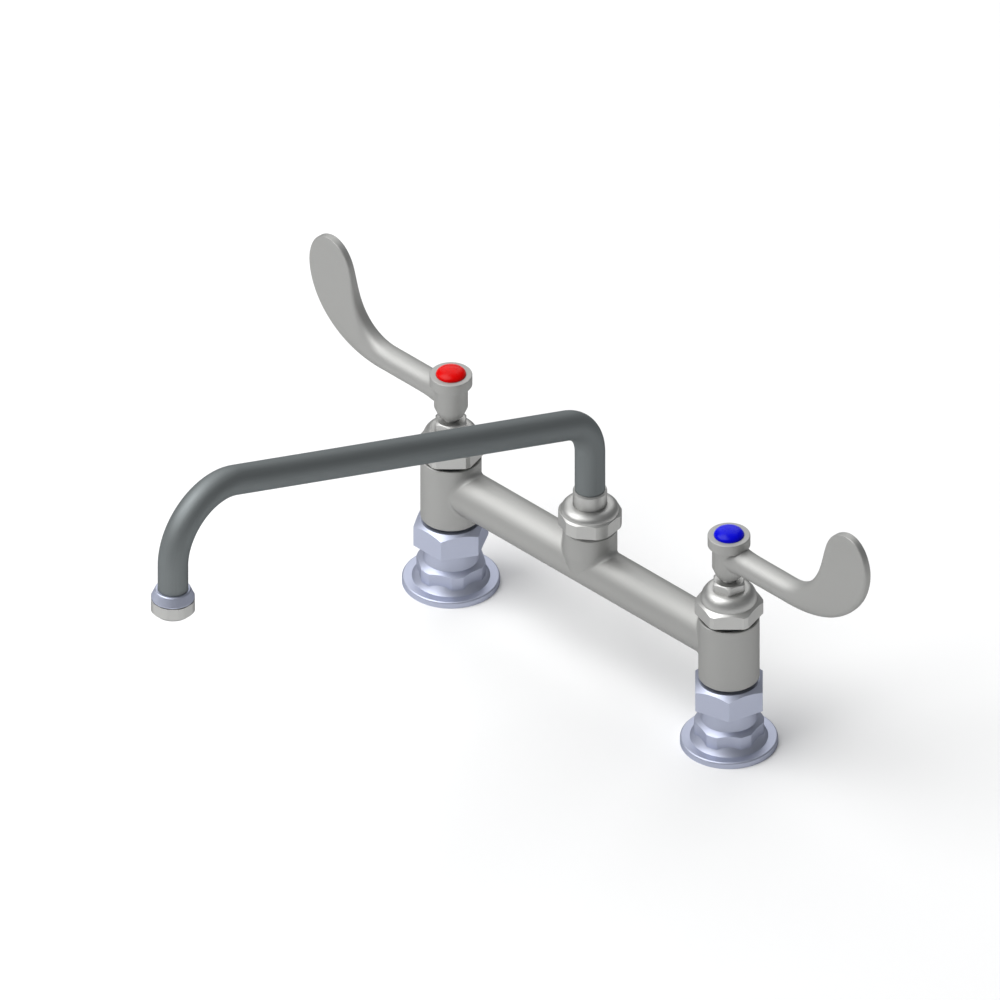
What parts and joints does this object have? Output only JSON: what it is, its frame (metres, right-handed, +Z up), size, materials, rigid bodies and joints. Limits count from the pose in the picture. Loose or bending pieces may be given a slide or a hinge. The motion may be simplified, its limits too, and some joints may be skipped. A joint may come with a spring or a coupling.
{
  "type": "deck-mount mixing faucet",
  "caption": "Deck-mounted bar mixing faucet: a bar joins the posts, a bent tube spout swings from its middle, and a wrist-blade handle on each post opens the valve in a quarter turn.",
  "frame": {"origin": "on the deck, midway between the two inlets", "axes": "+Z up from the deck, +X from the hot inlet to the cold inlet, and the spout points along -Y at rest"},
  "size_m": [0.407, 0.3416, 0.2541],
  "materials": {
    "satin_chrome": "satin chrome plate on cast brass",
    "bright_chrome": "bright chrome plate",
    "tube_chrome": "polished chrome plate on drawn tube",
    "brass": "machined brass",
    "screw_steel": "plain stainless steel",
    "rubber": "moulded nitrile rubber",
    "fibre": "pressed fibre",
    "nylon": "natural nylon",
    "red_plastic": "glossy red plastic",
    "blue_plastic": "glossy blue plastic"
  },
  "bodies": {
    "body": {"faucet_body": "satin_chrome", "swivel_nut": "satin_chrome", "swivel_washer": "nylon", "hot_inlet_flange": "bright_chrome", "hot_coupling_nut": "bright_chrome", "hot_coupling_ring": "brass", "hot_coupling_washer": "fibre", "hot_valve_seat": "brass", "hot_guide_sleeve": "brass", "hot_packing_ring": "nylon", "hot_packing_nut": "satin_chrome", "hot_bonnet": "satin_chrome", "hot_bonnet_gasket": "rubber", "cold_inlet_flange": "bright_chrome", "cold_coupling_nut": "bright_chrome", "cold_coupling_ring": "brass", "cold_coupling_washer": "fibre", "cold_valve_seat": "brass", "cold_guide_sleeve": "brass", "cold_packing_ring": "nylon", "cold_packing_nut": "satin_chrome", "cold_bonnet": "satin_chrome", "cold_bonnet_gasket": "rubber"},
    "hot_handle": {"hot_handle": "satin_chrome", "hot_handle_screw": "screw_steel", "hot_index_button": "red_plastic", "hot_spindle": "bright_chrome", "hot_spindle_oring": "rubber"},
    "hot_plunger": {"hot_plunger": "brass", "hot_seat_washer": "rubber", "hot_washer_screw": "brass"},
    "cold_handle": {"cold_handle": "satin_chrome", "cold_handle_screw": "screw_steel", "cold_index_button": "blue_plastic", "cold_spindle": "bright_chrome", "cold_spindle_oring": "rubber"},
    "cold_plunger": {"cold_plunger": "brass", "cold_seat_washer": "rubber", "cold_washer_screw": "brass"},
    "spout": {"spout_ferrule": "satin_chrome", "spout_tube": "tube_chrome", "swivel_orings": "rubber", "swivel_snap_ring": "brass", "outlet_adapter": "bright_chrome", "aerator_housing": "bright_chrome", "aerator_gasket": "rubber", "aerator_insert": "nylon", "aerator_screen": "brass"}
  },
  "joints": [
    {"name": "spout_swing", "type": "hinge", "parent": "body", "child": "spout", "pos_m": [0, 0, 0.09], "axis": [0, 0, 1], "continuous": true},
    {"name": "hot_handle_turn", "type": "hinge", "parent": "body", "child": "hot_handle", "pos_m": [-0.1016, 0, 0.1], "axis": [0, 0, 1], "range_deg": [0, 90]},
    {"name": "hot_plunger_lift", "type": "slide", "parent": "body", "child": "hot_plunger", "axis": [0, 0, 1], "range_m": [0, 0.003]},
    {"name": "cold_handle_turn", "type": "hinge", "parent": "body", "child": "cold_handle", "pos_m": [0.1016, 0, 0.1], "axis": [0, 0, 1], "range_deg": [-90, 0]},
    {"name": "cold_plunger_lift", "type": "slide", "parent": "body", "child": "cold_plunger", "axis": [0, 0, 1], "range_m": [0, 0.003]}
  ],
  "couplings": [
    {"joint": "hot_plunger_lift", "follows": "hot_handle_turn", "m_per_rad": 0.0019099},
    {"joint": "cold_plunger_lift", "follows": "cold_handle_turn", "m_per_rad": -0.0019099}
  ]
}
